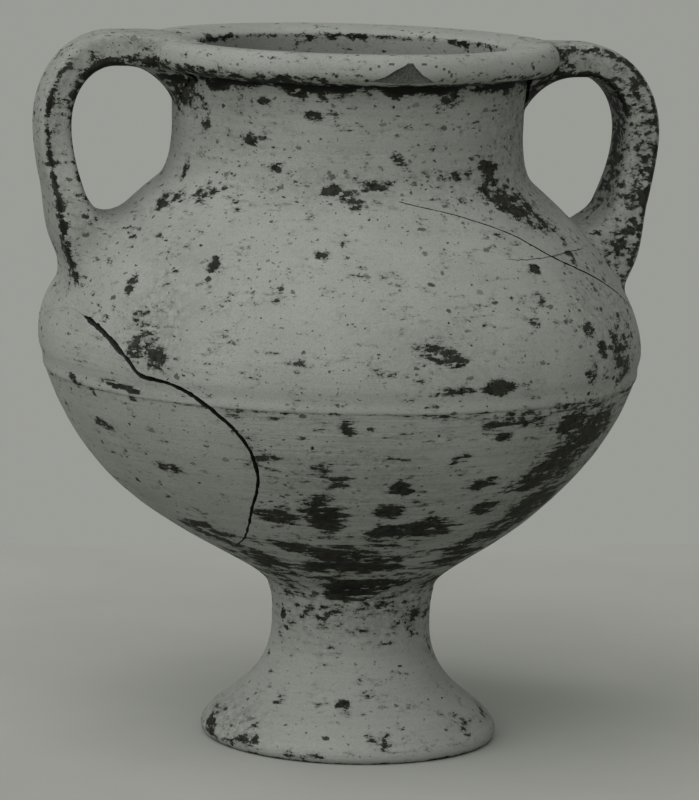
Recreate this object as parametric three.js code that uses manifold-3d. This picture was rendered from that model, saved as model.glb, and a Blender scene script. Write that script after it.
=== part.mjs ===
// A two-handled clay vessel: a wide bowl with a ridge, a rounded shoulder, a short neck with a heavy
// rolled lip, a spreading foot and two strap handles from the lip to the shoulder.
// It was thrown in sections, and it has been broken and put together again, so two sherds are pieces
// of their own. Lengths are in millimetres, +Z is up, and +X points at the right handle.
// The mouth stands over the origin, and the foot sits a little to one side of it, as on the real pot.

import * as THREE from 'three';
import { mergeVertices } from 'three/addons/utils/BufferGeometryUtils.js';
import Module from 'manifold-3d';

const wasm = await Module();
wasm.setup();

// Heights: each section's own rise
const FOOT_RISE = 54;
const BOWL_RISE = 78.5;
const SHOULDER_RISE = 67.5;
const NECK_RISE = 38.5;
const LIP_RISE = 11.5;

// Foot
const REST_RADIUS = 50.5;        // outer edge of the ring that the pot stands on
const REST_BREADTH = 5.5;        // breadth of that ring
const TOE_SWELL = 3;             // how far the rounded toe bulges past it
const TOE_RISE = 7;
const TOE_SLOPE_IN = 5;          // the straight slope above the toe: this far in
const TOE_SLOPE_UP = 8;          // for this far up
const STEM_RADIUS = 28.3;
const STEM_WAIST_RISE = 42;
const STEM_FLARE = 23;           // how early the stem starts to spread, down from its waist
const STEM_TOP_RADIUS = 29.6;    // where the bowl is set on the stem
const FOOT_WALL = 8;
const HOLLOW_RISE = 45;          // how far the hollow under the foot reaches
const HOLLOW_THROAT_RISE = 29;   // where the hollow is as narrow as the stem lets it be
const FOOT_OFFSET = 6.3;         // the foot stands this far right of the mouth's axis
const OFFSET_EASE = 42;          // height over which that lean fades out above the stem

// Bowl and shoulder
const WALL = 6;
const FLOOR = 10;
const FLOOR_DISH = 16;           // radius of the flat middle of the floor
const BOWL_SPRING = 12.3;        // how far the bowl rises from the stem before it swings out
const BOWL_CURVE_IN = 17.5;      // pull of the bowl's curve at the ridge, inward
const BOWL_CURVE_DOWN = 55;      // and down
const RIDGE_RADIUS = 104.6;
const RIDGE_PROUD = 0.9;
const RIDGE_BREADTH = 3.4;
const BELLY_RADIUS = 106.3;
const BELLY_RISE = 9;            // from the ridge to the widest line
const SHOULDER_ROUND = 20;       // how far the shoulder goes on upright above the widest line
const SHOULDER_SLOPE_OUT = 20.4; // its slope into the neck: this far out
const SHOULDER_SLOPE_DOWN = 17;  // for this far down

// Neck and lip
const NECK_BASE_RADIUS = 66.6;
const NECK_TOP_RADIUS = 63;
const NECK_HOLLOW = 6.1;         // pull of the neck's curve inward at its base
const NECK_TURN = 5.5;           // and up
const NECK_FLARE = 1.4;          // pull inward below the lip
const LIP_RADIUS = 74;
const LIP_CREST_SETBACK = 4.5;   // from the lip's face to its highest line
const MOUTH_RADIUS = 55.5;
const MOUTH_DROP = 3.2;          // from the highest line down to the narrowest
const CHIP_LENGTH = 20;
const CHIP_HEIGHT = 8;
const CHIP_DEPTH = 1.4;
const CHIP_BEARING = 1.5;

// Handles
const HANDLE_STANDOFF = 37.3;    // from the lip's face to the handle's outer face
const RIGHT_CROWN = -0.4;        // top of each handle, above the lip
const LEFT_CROWN = 2.4;
const RIGHT_LANDING = 29.5;      // where each meets the shoulder, below the neck
const LEFT_LANDING = 25;
const STRAP_WIDTH = 21;
const STRAP_THICKNESS = 10;
const CROWN_THICKNESS = 12;      // at the top, where the strap leaves the lip
const LIP_END_WIDTH = 29;        // flared upper end
const ROOT_WIDTH = 46;           // flared lower end
const ROOT_OUTER_SPREAD = 4;     // extra thickness of the lower root on its outer face
const ROOT_INNER_SPREAD = 14;    // and on its inner face, where it fills the corner to the shoulder
const GUSSET = 12;               // clay pressed into the corner below the lip
const GUSSET_RUN = 16;           // how far along the handle it reaches
const TOP_RUN = 10;              // level stretch outside the lip
const BEND_DROP = 32;            // from the top face to the widest point
const BEND_ROUND = 14;           // how far each side of the bend runs on straight
const LANDING_OUT = 8;           // its slope where it lands on the shoulder: this far out
const LANDING_UP = 17;           // for this far up
const STRAP_SINK = 2;            // how far the strap runs on inside what carries it

// Each swelling of the strap is full up to one distance from its end and gone at another
const CROWN_FADE = [25, 60];
const LIP_END_FADE = [8, 30];
const ROOT_FADE = [8, 44];
const ROOT_OUTER_FADE = [6, 28];
const ROOT_INNER_FADE = [14, 37];
const ROOT_TUCK = [-16, 12];     // inside the wall the root narrows again

// Fits
const LUTING_GAP = 0.3;          // between a handle and the wall that carries it
const TIGHT_JOIN = 0.3;          // between two sherds that close well

// Breaks: each sherd's edge is a closed line on the wall. A corner is a bearing in degrees from the
// front, positive to the right, a height above a level, and how wide the join stands open there.
// The left sherd's heights count from the ridge, the right one's from the foot of the neck.

const LEFT_SHERD_EDGE = [
  [-72.5, 24.5, 1.2], [-62.5, 19.2, 1.8], [-57.5, 13.5, 1.8], [-54, 9, 1.5], [-47, 7.5, 1.2],
  [-40.5, 3.2, 1.1], [-35.5, -3, 1.0], [-31.8, -10, 0.9], [-30, -17.5, 0.8],
  [-30, -26.5, 0.7], [-32.3, -34.5, 0.6], [-37, -44.5, 0.6], [-44.5, -52.5, 0.5],
  [-56, -57.5, 0.4],
  [-70, -60, TIGHT_JOIN], [-86, -56.5, TIGHT_JOIN], [-99, -46.5, TIGHT_JOIN],
  [-107, -30.5, TIGHT_JOIN], [-109, -11.5, TIGHT_JOIN], [-105, 5.5, TIGHT_JOIN],
  [-96, 17.5, TIGHT_JOIN], [-84, 23.5, TIGHT_JOIN],
];

const RIGHT_SHERD_EDGE = [
  [-5, 6, TIGHT_JOIN], [2, 0.5, TIGHT_JOIN], [19, -4.5, TIGHT_JOIN], [33, -11, TIGHT_JOIN],
  [43, -19.5, TIGHT_JOIN], [55, -28.5, TIGHT_JOIN], [64, -36, TIGHT_JOIN],
  [75, -43.5, TIGHT_JOIN], [90, -47.5, TIGHT_JOIN], [104, -45, TIGHT_JOIN],
  [117, -36, TIGHT_JOIN], [128, -22, TIGHT_JOIN], [136, -8, TIGHT_JOIN], [141, 6, TIGHT_JOIN],
];

// Fineness
const AROUND = 48;
const STRAP_SIDES = 14;
const STRAP_STATIONS = 24;
const STRAP_SQUARENESS = 0.68;   // 1 makes the strap's section an oval, less makes it squarer
const EDGE_STEPS = 3;            // steps between two corners of a break
const WELD = 0.01;               // outline points nearer than this are one point
const CUT_CLEAR = 0.2;           // outline points nearer than this to a level cut are left out

// Levels that follow from the rises
const BOWL_Z = FOOT_RISE;
const RIDGE_Z = BOWL_Z + BOWL_RISE;
const NECK_Z = RIDGE_Z + SHOULDER_RISE;
const LIP_Z = NECK_Z + NECK_RISE;
const TOP_Z = LIP_Z + LIP_RISE;

const point = (x, y) => new THREE.Vector2(x, y);
const { clamp, degToRad, lerp, mapLinear, smoothstep } = THREE.MathUtils;

// A round stretch of outline between two points. The pulls say how far and which way it leaves the
// first point and arrives at the last.
function sweep(start, startPull, endPull, end, steps) {
  const curve = new THREE.CubicBezierCurve(
    start, start.clone().add(startPull), end.clone().add(endPull), end);
  return curve.getPoints(steps);
}

// Joins stretches of outline and drops the points where they meet twice
function joined(...stretches) {
  return stretches.flat().filter((p, i, all) => i === 0 || p.distanceTo(all[i - 1]) > WELD);
}

// Outer outlines, radius against height

function footOutline() {
  const toeTop = point(REST_RADIUS + TOE_SWELL / 4, TOE_RISE);
  const waist = point(STEM_RADIUS, STEM_WAIST_RISE);
  return joined(
    sweep(point(REST_RADIUS, 0), point(TOE_SWELL, TOE_RISE / 12),
      point(TOE_SWELL * 0.87, -TOE_RISE * 0.37), toeTop, 4),
    sweep(toeTop, point(-TOE_SLOPE_IN, TOE_SLOPE_UP), point(0, -STEM_FLARE), waist, 7),
    sweep(waist, point(0, (BOWL_Z - STEM_WAIST_RISE) * 0.4),
      point(STEM_RADIUS - STEM_TOP_RADIUS, (STEM_WAIST_RISE - BOWL_Z) / 3),
      point(STEM_TOP_RADIUS, BOWL_Z), 2));
}

function bowlOutline() {
  return sweep(point(STEM_TOP_RADIUS, BOWL_Z), point(0, BOWL_SPRING),
    point(-BOWL_CURVE_IN, -BOWL_CURVE_DOWN), point(RIDGE_RADIUS, RIDGE_Z), 10);
}

// The small raised ridge starts the shoulder and stands proud of the smooth wall
const aboveRidge = point(RIDGE_RADIUS + RIDGE_PROUD / 2, RIDGE_Z + RIDGE_BREADTH);

function ridgeOutline() {
  return sweep(point(RIDGE_RADIUS, RIDGE_Z), point(RIDGE_PROUD, 0),
    point(RIDGE_PROUD, -RIDGE_BREADTH / 4), aboveRidge, 3);
}

function shoulderOutline() {
  const belly = point(BELLY_RADIUS, RIDGE_Z + BELLY_RISE);
  const rise = (belly.y - aboveRidge.y) / 3;
  return joined(
    sweep(aboveRidge, point((belly.x - aboveRidge.x) * 0.7, rise), point(0, -rise), belly, 2),
    sweep(belly, point(0, SHOULDER_ROUND), point(SHOULDER_SLOPE_OUT, -SHOULDER_SLOPE_DOWN),
      point(NECK_BASE_RADIUS, NECK_Z), 9));
}

function neckOutline() {
  return sweep(point(NECK_BASE_RADIUS, NECK_Z), point(-NECK_HOLLOW, NECK_TURN),
    point(-NECK_FLARE, -0.43 * NECK_RISE), point(NECK_TOP_RADIUS, LIP_Z), 5);
}

// The lip is a roll of clay that hangs a little over the neck outside and inside
function lipOutline() {
  const half = LIP_RISE / 2;
  const face = point(LIP_RADIUS, LIP_Z + half);
  const crest = point(LIP_RADIUS - LIP_CREST_SETBACK, TOP_Z);
  const mouth = point(MOUTH_RADIUS, TOP_Z - MOUTH_DROP);
  return joined(
    sweep(point(NECK_TOP_RADIUS, LIP_Z), point(2, 1), point(0, -0.9 * half), face, 4),
    sweep(face, point(0, 0.6 * half), point(0.6 * LIP_CREST_SETBACK, 0), crest, 3),
    sweep(crest, point(-6, 0), point(0, 0.8 * MOUTH_DROP), mouth, 3),
    sweep(mouth, point(0, -0.4 * half), point(-0.4, 0.4 * half),
      point(NECK_TOP_RADIUS - WALL, LIP_Z), 2));
}

// Sets an outline back by a distance, square to itself
function setBack(outline, distance) {
  return outline.map((p, i) => {
    const before = outline[Math.max(i - 1, 0)];
    const after = outline[Math.min(i + 1, outline.length - 1)];
    const along = after.clone().sub(before).normalize();
    return point(p.x - along.y * distance, p.y + along.x * distance);
  });
}

// Radius of an outline at a height
function radiusAt(outline, height) {
  for (let i = 1; i < outline.length; i++) {
    const [low, high] = [outline[i - 1], outline[i]];
    if (low.y <= height && height <= high.y) {
      return mapLinear(height, low.y, high.y, low.x, high.x);
    }
  }
  throw new Error('the outline does not reach height ' + height);
}

// The part of an outline between two heights, with its ends exactly on them
function between(outline, bottom, top) {
  const inside = outline.filter((p) => p.y > bottom + CUT_CLEAR && p.y < top - CUT_CLEAR);
  return [point(radiusAt(outline, bottom), bottom), ...inside, point(radiusAt(outline, top), top)];
}

const smoothWall = joined(bowlOutline(), shoulderOutline(), neckOutline());
const outerWall = joined(bowlOutline(), ridgeOutline(), shoulderOutline(), neckOutline());
const wallRadius = (height) => radiusAt(outerWall, clamp(height, BOWL_Z, LIP_Z));

// The inside of the pot: a dished floor, then the smooth wall set back by its thickness
const floorZ = BOWL_Z + FLOOR;
const setWall = setBack(smoothWall, WALL).filter((p) => p.y > floorZ + FLOOR && p.y < LIP_Z - WALL / 6);
const innerWall = joined(
  sweep(point(0, floorZ), point(FLOOR_DISH, 0), point(-FLOOR, -FLOOR / 2), setWall[0], 4),
  setWall.slice(1),
  [point(NECK_TOP_RADIUS - WALL, LIP_Z)]);

// Solids

// A closed geometry as a solid that can be cut, with its shared corners merged
function solid(geometry) {
  geometry.deleteAttribute('normal');
  geometry.deleteAttribute('uv');
  const merged = mergeVertices(geometry, 1e-4);
  const index = merged.index.array;
  const corners = [];
  for (let i = 0; i < index.length; i += 3) {
    const [a, b, c] = [index[i], index[i + 1], index[i + 2]];
    if (a !== b && b !== c && c !== a) corners.push(a, b, c);
  }
  return new wasm.Manifold(new wasm.Mesh({
    numProp: 3,
    vertProperties: new Float32Array(merged.attributes.position.array),
    triVerts: new Uint32Array(corners),
  }));
}

function meshGeometry(places, corners) {
  const geometry = new THREE.BufferGeometry();
  geometry.setAttribute('position', new THREE.Float32BufferAttribute(places, 3));
  geometry.setIndex(corners);
  return geometry;
}

// Turns a closed outline round the axis, which is +Z here
function turned(outline) {
  const geometry = new THREE.LatheGeometry([...outline, outline[0]], AROUND);
  return solid(geometry.rotateX(Math.PI / 2));
}

// A wall section between two levels, cut flat where the next section sits on it
function wallSection(bottom, top) {
  return turned([...between(outerWall, bottom, top), ...between(innerWall, bottom, top).reverse()]);
}

// The bowl's section also has the floor, which closes it over the stem
function wallWithFloor(top) {
  const inside = innerWall.filter((p) => p.y < top - CUT_CLEAR);
  return turned([
    point(0, BOWL_Z), ...between(outerWall, BOWL_Z, top),
    point(radiusAt(innerWall, top), top), ...inside.reverse()]);
}

function footSolid() {
  const mouth = point(REST_RADIUS - REST_BREADTH, 0);
  const throat = point(STEM_RADIUS - FOOT_WALL, HOLLOW_THROAT_RISE);
  const hollow = joined(
    sweep(point(0, HOLLOW_RISE), point(throat.x / 2, 0),
      point(0, (HOLLOW_RISE - throat.y) / 2), throat, 4),
    sweep(throat, point(0, -0.45 * throat.y), point(-4, 7), mouth, 5));
  return turned([...hollow, ...footOutline(), point(0, BOWL_Z)]);
}

// A small flake is gone from the front of the lip
function lipSolid() {
  const flake = new THREE.SphereGeometry(1, 20, 10)
    .scale(CHIP_LENGTH / 2, CHIP_DEPTH, CHIP_HEIGHT / 2)
    .translate(0, -LIP_RADIUS, LIP_Z + LIP_RISE / 2)
    .rotateZ(degToRad(CHIP_BEARING));
  return turned(lipOutline()).subtract(solid(flake));
}

// The whole outside of the vessel, filled in and grown by the luting gap: a handle is cut back from it
function grownVessel() {
  const lip = lipOutline().filter((p) => p.x > NECK_TOP_RADIUS);
  const skin = setBack(joined(outerWall, lip), -LUTING_GAP);
  return turned([point(0, BOWL_Z), ...skin, point(0, TOP_Z + LUTING_GAP)]);
}

// Joins rings of points, all with as many points, into a closed skin with a cap at each end
function loft(rings) {
  const sides = rings[0].length;
  const corners = [];
  for (let r = 0; r + 1 < rings.length; r++) {
    for (let s = 0; s < sides; s++) {
      const [a, b] = [r * sides + s, r * sides + (s + 1) % sides];
      corners.push(a, b, b + sides, a, b + sides, a + sides);
    }
  }
  const last = (rings.length - 1) * sides;
  for (let s = 1; s + 1 < sides; s++) {
    corners.push(0, s + 1, s, last, last + s, last + s + 1);
  }
  return meshGeometry(rings.flat().flatMap((p) => [p.x, p.y, p.z]), corners);
}

// The middle line of a handle, radius against height: out from the lip, round the bend, and down
// to the shoulder, where it runs on into the wall
function handleLine(crown, landing) {
  const top = TOP_Z + crown;
  const runZ = top - CROWN_THICKNESS / 2;
  const start = point(NECK_TOP_RADIUS - STRAP_SINK, runZ - STRAP_SINK);
  const runEnd = point(LIP_RADIUS + TOP_RUN, runZ);
  const widest = point(LIP_RADIUS + HANDLE_STANDOFF - STRAP_THICKNESS / 2, top - BEND_DROP);
  const landZ = NECK_Z - landing;
  const land = point(wallRadius(landZ) + 1, landZ);
  const line = new THREE.CurvePath();
  const add = (from, fromPull, toPull, to) => line.add(
    new THREE.CubicBezierCurve(from, from.clone().add(fromPull), to.clone().add(toPull), to));
  add(start, point(5, 0), point(-TOP_RUN - 3, 0), runEnd);
  add(runEnd, point(BEND_ROUND - 2, 0), point(0, BEND_ROUND + 1), widest);
  add(widest, point(0, -BEND_ROUND + 1), point(LANDING_OUT, LANDING_UP), land);
  line.add(new THREE.LineCurve(land, land.clone().add(point(-3, -5).multiplyScalar(STRAP_SINK))));
  return line;
}

// A value from -1 to 1 that is pushed outward, which squares off an oval
const squared = (v) => Math.sign(v) * Math.abs(v) ** STRAP_SQUARENESS;

// One ring of the strap, across its line, with its own reach outward and inward
function strapRing(centre, along, width, outward, inward) {
  return Array.from({ length: STRAP_SIDES }, (_, i) => {
    const turn = (i / STRAP_SIDES) * Math.PI * 2;
    const face = squared(Math.sin(turn));
    const reach = face * (face > 0 ? outward : inward);
    return new THREE.Vector3(
      centre.x - along.y * reach, squared(Math.cos(turn)) * width / 2, centre.y + along.x * reach);
  });
}

// The strap swells and widens towards both ends
function handleSolid(crown, landing, turn) {
  const line = handleLine(crown, landing);
  const length = line.getLength();
  const near = (distance, [full, gone]) => 1 - smoothstep(distance, full, gone);
  const rings = [];
  for (let i = 0; i <= STRAP_STATIONS; i++) {
    const done = i / STRAP_STATIONS * length;
    const left = length - done;
    const half = lerp(STRAP_THICKNESS, CROWN_THICKNESS, near(done, CROWN_FADE)) / 2;
    const gusset = GUSSET * Math.max(0, 1 - done / GUSSET_RUN) ** 2;
    const width = STRAP_WIDTH
      + (LIP_END_WIDTH - STRAP_WIDTH) * near(done, LIP_END_FADE)
      + (ROOT_WIDTH - STRAP_WIDTH) * near(left, ROOT_FADE) * smoothstep(left, ...ROOT_TUCK);
    rings.push(strapRing(
      line.getPointAt(done / length), line.getTangentAt(done / length), width,
      half + ROOT_OUTER_SPREAD * near(left, ROOT_OUTER_FADE),
      half + gusset + ROOT_INNER_SPREAD * near(left, ROOT_INNER_FADE)));
  }
  return solid(loft(rings).rotateZ(turn)).subtract(grownVessel());
}

// A sherd's edge, or the edge of the hole that it fills, which is wider by the join's opening.
// It comes back as bearing in radians and height, counter-clockwise.
function edgeLine(corners, level, isHole) {
  const flat = corners.map(([bearing, rise, open]) => new THREE.Vector3(
    degToRad(bearing) * BELLY_RADIUS, level + rise, open));
  const curve = new THREE.CatmullRomCurve3(flat, true, 'centripetal');
  let line = curve.getPoints(corners.length * EDGE_STEPS).slice(0, -1);
  if (THREE.ShapeUtils.area(line) < 0) line = line.reverse();
  return line.map((p, i) => {
    const before = line.at(i - 1);
    const after = line[(i + 1) % line.length];
    const shrink = wallRadius(p.y) / BELLY_RADIUS;
    const along = point((after.x - before.x) * shrink, after.y - before.y).normalize();
    const move = (isHole ? 1 : -1) * p.z / 2;
    return point((p.x + along.y * move / shrink) / BELLY_RADIUS, p.y - along.x * move);
  });
}

// A block with that edge, which reaches from near the axis out past the wall. Its sides run
// straight through the wall's thickness, with a margin on both faces.
function edgeBlock(corners, level, isHole) {
  const edge = edgeLine(corners, level, isHole);
  const innermost = 2 * WALL;
  const layers = [
    () => 2.5 * BELLY_RADIUS,
    (p) => wallRadius(p.y) + WALL / 2,
    (p) => Math.max(wallRadius(p.y) - 2.5 * WALL, 2 * innermost),
    () => innermost];
  const at = (p, radius) => [radius * Math.sin(p.x), -radius * Math.cos(p.x), p.y];
  const places = layers.flatMap((radius) => edge.flatMap((p) => at(p, radius(p))));
  const count = edge.length;
  const last = (layers.length - 1) * count;
  const faces = [];
  for (const [a, b, c] of THREE.ShapeUtils.triangulateShape(edge, [])) {
    faces.push(a, b, c, c + last, b + last, a + last);
  }
  for (let first = 0; first < last; first += count) {
    for (let i = 0; i < count; i++) {
      const [a, b] = [first + i, first + (i + 1) % count];
      faces.push(a, a + count, b + count, a, b + count, b);
    }
  }
  return solid(meshGeometry(places, faces));
}

const leftHole = edgeBlock(LEFT_SHERD_EDGE, RIDGE_Z, true);
const rightHole = edgeBlock(RIGHT_SHERD_EDGE, NECK_Z, true);
const wholeWall = wallWithFloor(NECK_Z);

// The pot below the bowl leans off the mouth's axis, because the foot was set on a little to the right
function lean(height) {
  return FOOT_OFFSET * (1 - smoothstep(height, BOWL_Z - FLOOR / 2, BOWL_Z + OFFSET_EASE));
}

function piece(name, made, color, roughness = 0.85) {
  const mesh = made.getMesh();
  const places = Array.from(mesh.vertProperties);
  for (let i = 0; i < places.length; i += 3) places[i] += lean(places[i + 2]);
  const geometry = meshGeometry(places, Array.from(mesh.triVerts));
  geometry.computeVertexNormals();
  const clay = new THREE.MeshStandardMaterial({ color, roughness, metalness: 0 });
  const part = new THREE.Mesh(geometry, clay);
  part.name = name;
  return part;
}

const vessel = new THREE.Group();
vessel.add(
  piece('pedestal_foot', footSolid(), 0x85877f),
  piece('lower_bowl', wallWithFloor(RIDGE_Z).subtract(leftHole), 0x6e706a),
  piece('shoulder_wall', wallSection(RIDGE_Z, NECK_Z).subtract(leftHole).subtract(rightHole), 0x888a84),
  piece('left_wall_sherd', wholeWall.intersect(edgeBlock(LEFT_SHERD_EDGE, RIDGE_Z, false)), 0x7c7e78),
  piece('right_shoulder_sherd', wholeWall.intersect(edgeBlock(RIGHT_SHERD_EDGE, NECK_Z, false)), 0x7f817a),
  piece('neck_collar', wallSection(NECK_Z, LIP_Z), 0x787a74),
  piece('rim_lip', lipSolid(), 0x8a8c85, 0.8),
  piece('left_handle', handleSolid(LEFT_CROWN, LEFT_LANDING, Math.PI), 0x85877f),
  piece('right_handle', handleSolid(RIGHT_CROWN, RIGHT_LANDING, 0), 0x7a7c75));

export default vessel;
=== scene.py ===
# %% [markdown]
# # A two-handled clay vessel, broken once and mended
#
# The real pot was thrown on a wheel in sections: a hollow foot, a bowl, a shoulder, a neck and a heavy
# lip. Two straps of clay were pressed on as handles. Much later it broke, and two sherds were set back.
# The model of its body comes from CAD, so the heights of its joints and its main radii are read there.
# This lesson gives each piece a finer skin, the hand's unevenness, open breaks and an old, stained
# surface.

# %% Load the frame
import math

import bmesh
import bpy
import numpy as np
from mathutils import Matrix, Vector, noise
from mathutils.bvhtree import BVHTree
from mathutils.geometry import interpolate_bezier


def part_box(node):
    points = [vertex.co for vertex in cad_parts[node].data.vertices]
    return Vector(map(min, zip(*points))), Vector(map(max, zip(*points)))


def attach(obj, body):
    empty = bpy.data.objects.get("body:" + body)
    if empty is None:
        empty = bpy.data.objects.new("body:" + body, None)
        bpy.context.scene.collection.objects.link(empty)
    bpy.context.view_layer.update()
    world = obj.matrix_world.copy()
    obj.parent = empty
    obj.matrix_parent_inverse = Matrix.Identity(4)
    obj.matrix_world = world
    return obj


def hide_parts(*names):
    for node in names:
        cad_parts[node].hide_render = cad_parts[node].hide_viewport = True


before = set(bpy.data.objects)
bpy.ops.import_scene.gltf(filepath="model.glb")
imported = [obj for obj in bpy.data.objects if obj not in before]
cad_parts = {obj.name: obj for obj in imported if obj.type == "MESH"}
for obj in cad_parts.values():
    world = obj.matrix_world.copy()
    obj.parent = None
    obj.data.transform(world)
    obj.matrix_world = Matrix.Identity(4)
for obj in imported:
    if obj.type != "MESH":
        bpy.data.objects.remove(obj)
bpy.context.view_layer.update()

print("CAD nodes:", ", ".join(sorted(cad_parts)))

# %% [markdown]
# ## Sizes
#
# A potter thinks in millimetres, so the lesson does too. Each mesh is scaled to metres once, when it is
# finished. The heights of the joints and the main radii come from the boxes of the CAD nodes. What a box
# can't tell, such as the wall's thickness, is a value of its own.

# %% Read the sizes from the frame
MM = 0.001


def low(node):
    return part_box(node)[0] / MM


def high(node):
    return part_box(node)[1] / MM


BOWL_Z = high("pedestal_foot").z
RIDGE_Z = high("lower_bowl").z
NECK_Z = high("shoulder_wall").z
LIP_Z = high("neck_collar").z
TOP_Z = high("rim_lip").z
RIDGE_RADIUS = high("lower_bowl").y
BELLY_RADIUS = high("shoulder_wall").y
NECK_BASE_RADIUS = high("neck_collar").y
LIP_RADIUS = high("rim_lip").y
FOOT_OFFSET = (high("pedestal_foot").x + low("pedestal_foot").x) / 2
print("joints at", [round(z, 1) for z in (BOWL_Z, RIDGE_Z, NECK_Z, LIP_Z, TOP_Z)], "mm")

# %% Sizes that no box can tell
REST_RADIUS = 50.5
REST_BREADTH = 5.5
TOE_SPREAD = 0.75
TOE_RISE = 7
STEM_RADIUS = 28.3
STEM_WAIST_RISE = 42
STEM_TOP_RADIUS = 29.6
FOOT_WALL = 8
HOLLOW_RISE = 45
THROAT_RISE = 29
OFFSET_EASE = 42
WALL = 6
FLOOR = 10
BELLY_RISE = 9
RIDGE_PROUD = 0.7
RIDGE_BREADTH = 3.4
NECK_TOP_RADIUS = 63
MOUTH_RADIUS = 55.5
MOUTH_DROP = 3.2
CREST_SETBACK = 4.5

# %% [markdown]
# ## The outline
#
# A thrown pot is one outline turned round an axis. Each stretch of the outline is a Bezier curve, which
# needs only its two ends and how it leaves and arrives. The points lie about a millimetre apart, close
# enough that the stains painted on the mesh later keep their edges.

# %% Draw a stretch of outline
STEP = 1.25
TOE_STEP = 0.9
LIP_STEP = 0.8
RIDGE_STEP = 0.5


def at(radius, height):
    return Vector((radius, 0, height))


def bend(start, leave, arrive, end, step=STEP):
    """Points of a round stretch between two points, about a step apart"""
    first, last = start + at(*leave), end + at(*arrive)
    length = (first - start).length + (last - first).length + (end - last).length
    return interpolate_bezier(start, first, last, end, max(4, round(length / step)))


def joined(*stretches):
    """One outline from several stretches, without the doubled points where they meet"""
    points = [p for stretch in stretches for p in stretch]
    return [p for i, p in enumerate(points) if i == 0 or (p - points[i - 1]).length > 0.01]


# %% The outer outlines, from the foot up
toe_top = at(REST_RADIUS + TOE_SPREAD, TOE_RISE)
waist = at(STEM_RADIUS, STEM_WAIST_RISE)
stem_top = at(STEM_TOP_RADIUS, BOWL_Z)
foot_outline = joined(
    bend(at(REST_RADIUS, 0), (3, 0.6), (2.6, -2.6), toe_top, TOE_STEP),
    bend(toe_top, (-5, 8), (0, -23), waist),
    bend(waist, (0, 5), (-1.3, -4), stem_top))

ridge_foot = at(RIDGE_RADIUS, RIDGE_Z)
ridge_top = at(RIDGE_RADIUS + RIDGE_PROUD, RIDGE_Z + RIDGE_BREADTH)
belly = at(BELLY_RADIUS, RIDGE_Z + BELLY_RISE)
neck_base = at(NECK_BASE_RADIUS, NECK_Z)
neck_top = at(NECK_TOP_RADIUS, LIP_Z)
bowl_outline = bend(stem_top, (0, 12.3), (-17.5, -55), ridge_foot)
ridge_outline = bend(ridge_foot, (RIDGE_PROUD, 0), (0, -1.4), ridge_top, RIDGE_STEP)
belly_outline = bend(ridge_top, (0.1, 1.9), (0, -1.9), belly)
shoulder_outline = bend(belly, (0, 20), (20.4, -17), neck_base)
neck_outline = bend(neck_base, (-6.1, 5.5), (-1.4, -16.6), neck_top)
wall_outline = joined(bowl_outline, ridge_outline, belly_outline, shoulder_outline, neck_outline)
print(len(wall_outline), "points from the stem to the lip")

# %% The lip's outline, from its lower edge over the crest to the mouth
lip_face = at(LIP_RADIUS, (LIP_Z + TOP_Z) / 2)
lip_crest = at(LIP_RADIUS - CREST_SETBACK, TOP_Z)
mouth_edge = at(MOUTH_RADIUS, TOP_Z - MOUTH_DROP)
lip_under = at(NECK_TOP_RADIUS - WALL, LIP_Z)
lip_outline = joined(
    bend(neck_top, (2, 1), (0, -5.2), lip_face, LIP_STEP),
    bend(lip_face, (0, 3.4), (2.7, 0), lip_crest, LIP_STEP),
    bend(lip_crest, (-6, 0), (0, 2.6), mouth_edge, LIP_STEP),
    bend(mouth_edge, (0, -2.3), (-0.4, 2.3), lip_under, LIP_STEP))

# %% [markdown]
# The inside follows the outside, a wall's thickness in. It has fewer points, because it is seen only
# through the mouth. `radius_at` reads the outline back, so that everything set on the wall can find it.

# %% The inner outline and the wall's radius at a height
INNER_STEP = 2
CLEAR = 0.3


def set_back(outline, distance):
    """The outline moved square to itself, inward for a positive distance"""
    moved = []
    for i, p in enumerate(outline):
        along = (outline[min(i + 1, len(outline) - 1)] - outline[max(i - 1, 0)]).normalized()
        moved.append(p + Vector((-along.z, 0, along.x)) * distance)
    return moved


def radius_at(outline, height):
    return float(np.interp(height, [p.z for p in outline], [p.x for p in outline]))


def wall_radius(height):
    return radius_at(wall_outline, height)


def between(outline, bottom, top):
    """The part of an outline between two heights, with its ends exactly on them and no point too near"""
    middle = [p for p in outline if bottom + CLEAR < p.z < top - CLEAR]
    return [at(radius_at(outline, bottom), bottom), *middle, at(radius_at(outline, top), top)]


floor_z = BOWL_Z + FLOOR
smooth_wall = joined(bowl_outline, shoulder_outline, neck_outline)[::INNER_STEP]
set_wall = [p for p in set_back(smooth_wall, WALL) if floor_z + FLOOR < p.z < LIP_Z - 1]
inner_outline = joined(
    bend(at(0, floor_z), (16, 0), (-10, -5), set_wall[0], 2 * STEP), set_wall[1:], [lip_under])

# %% [markdown]
# ## Throwing
#
# The spin operator turns an outline into a closed body. A wheel never leaves a perfect round, so every
# point then moves a little in or out by noise that depends only on its place. Neighbouring sections
# share that noise, so their joints still meet.

# %% Spin an outline and make it uneven
WEDGE_STEPS = 15
DOUBLINGS = 5
SWELL = 0.45
RINGS = 0.13
RIPPLES = 0.05


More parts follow.
